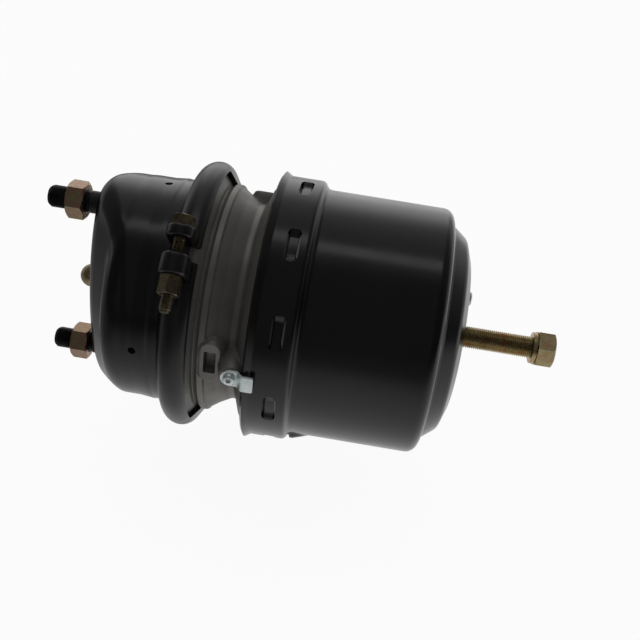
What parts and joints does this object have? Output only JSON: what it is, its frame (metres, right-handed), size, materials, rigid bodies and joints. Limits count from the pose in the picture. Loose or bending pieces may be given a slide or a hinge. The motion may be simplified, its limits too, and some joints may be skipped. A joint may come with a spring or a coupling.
{
  "type": "air brake chamber",
  "caption": "Combined service and spring brake actuator with stud-mounted diaphragm chamber, clamp ring, flange casting, spring housing and release bolt",
  "frame": {"origin": "centre of the mounting face, midway between the two studs", "axes": "+X along the chamber away from the brake, +Z along the line of the studs, -X is the direction of the push rod's stroke"},
  "size_m": [0.3717, 0.204, 0.1952],
  "materials": {
    "black_paint": "semi-gloss",
    "yellow_zinc": "passivated zinc, satin",
    "bright_zinc": "bright zinc",
    "cast_aluminium": "die-cast, matte",
    "drawn_steel": "drawn",
    "spring_paint": "matte",
    "black_rubber": "matte",
    "white_acetal": "moulded"
  },
  "bodies": {
    "chamber": {"service_housing": "black_paint", "mounting_studs": "black_paint", "stud_nuts": "yellow_zinc", "rod_boot": "black_rubber", "clamp_ring": "black_paint", "clamp_bolt": "yellow_zinc", "clamp_nut": "yellow_zinc", "flange_casting": "cast_aluminium", "tube_bush": "white_acetal", "tube_seal": "black_rubber", "housing_seal": "black_rubber", "spring_housing": "black_paint", "release_boss": "yellow_zinc", "end_screw": "bright_zinc", "lock_clip": "bright_zinc", "lock_screw": "bright_zinc", "service_diaphragm": "black_rubber", "return_spring": "drawn_steel", "power_spring": "spring_paint"},
    "piston": {"spring_piston": "cast_aluminium", "piston_seal": "black_rubber", "piston_guide_ring": "white_acetal", "piston_tube": "drawn_steel", "tube_pad": "white_acetal"},
    "rod": {"push_rod": "yellow_zinc", "push_plate": "yellow_zinc"},
    "bolt": {"release_bolt": "yellow_zinc", "thrust_collar": "yellow_zinc", "release_collar": "yellow_zinc", "release_nut": "yellow_zinc"}
  },
  "joints": [
    {"name": "parking_stroke", "type": "slide", "parent": "chamber", "child": "piston", "axis": [-1, 0, 0], "range_m": [0, 0.045], "deforming": ["power_spring", "return_spring", "service_diaphragm", "rod_boot"]},
    {"name": "service_stroke", "type": "slide", "parent": "piston", "child": "rod", "axis": [-1, 0, 0], "range_m": [0, 0.012]},
    {"name": "release_bolt_travel", "type": "slide", "parent": "chamber", "child": "bolt", "axis": [-1, 0, 0], "range_m": [0, 0.045]}
  ],
  "couplings": [
    {"joint": "release_bolt_travel", "follows": "parking_stroke", "ratio": 1}
  ]
}
